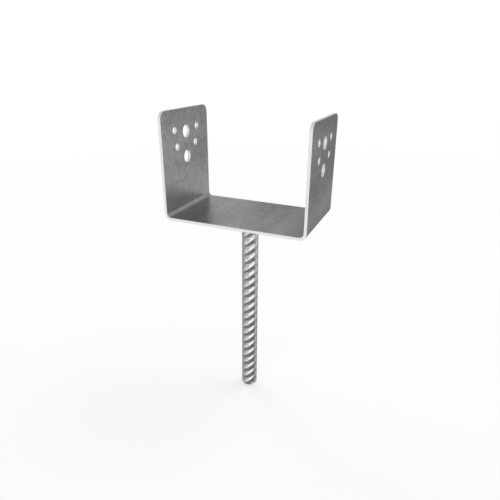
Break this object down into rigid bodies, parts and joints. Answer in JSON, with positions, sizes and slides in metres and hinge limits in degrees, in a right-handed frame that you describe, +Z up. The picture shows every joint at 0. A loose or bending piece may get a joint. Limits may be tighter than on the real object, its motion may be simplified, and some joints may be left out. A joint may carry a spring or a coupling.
{
  "type": "post anchor",
  "caption": "U-shaped post support bent from steel plate, with bolt and screw holes in both arms, welded on a ribbed rod that is cast into concrete.",
  "frame": {"origin": "centre of the seat's top face, where the foot of the post rests", "axes": "+Z up, out of the seat and away from the anchor rod; X across the seat from arm to arm, along the bolts; Y along the depth of the seat"},
  "size_m": [0.147, 0.09, 0.315],
  "materials": {
    "galvanised_plate": "zinc-coated sheet steel, satin",
    "galvanised_bar": "zinc-coated ribbed bar, satin to bright",
    "galvanised_weld": "zinc-coated fillet weld, matt"
  },
  "bodies": {
    "root": {"saddle_plate": "galvanised_plate", "anchor_rod": "galvanised_bar", "rod_weld": "galvanised_weld"}
  },
  "joints": []
}
